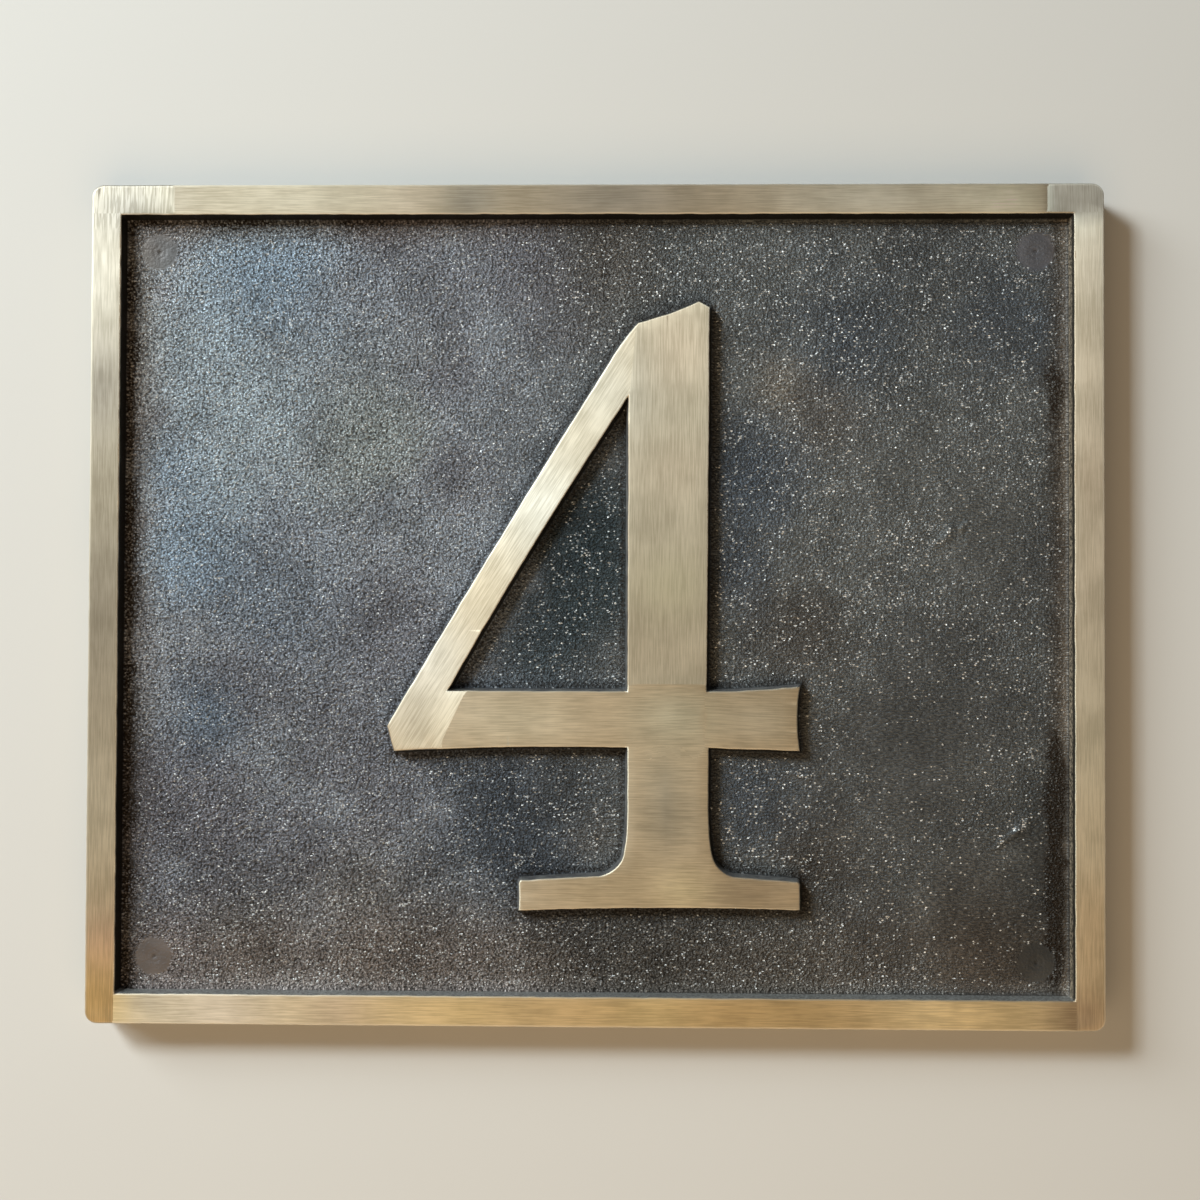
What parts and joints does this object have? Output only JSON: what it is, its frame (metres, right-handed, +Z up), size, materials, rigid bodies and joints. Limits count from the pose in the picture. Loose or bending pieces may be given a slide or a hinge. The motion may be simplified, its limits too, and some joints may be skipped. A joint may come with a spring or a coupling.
{
  "type": "house number plaque",
  "caption": "Cast bronze house number plaque with a raised rim and a raised numeral four on a sunk sandy ground, fixed to a wall by countersunk screws at its corners.",
  "frame": {"origin": "middle of the flat back, on the wall", "axes": "+X to the right as it is read, +Z up, front towards -Y, so the back faces +Y into the wall"},
  "size_m": [0.17, 0.0281, 0.141],
  "materials": {
    "cast_bronze": "sand cast, dark patina on the ground, rim and numeral ground bright",
    "dark_screws": "dark patina, the same as the ground round them"
  },
  "bodies": {
    "root": {"plaque": "cast_bronze", "fixing_screws": "dark_screws"}
  },
  "joints": []
}
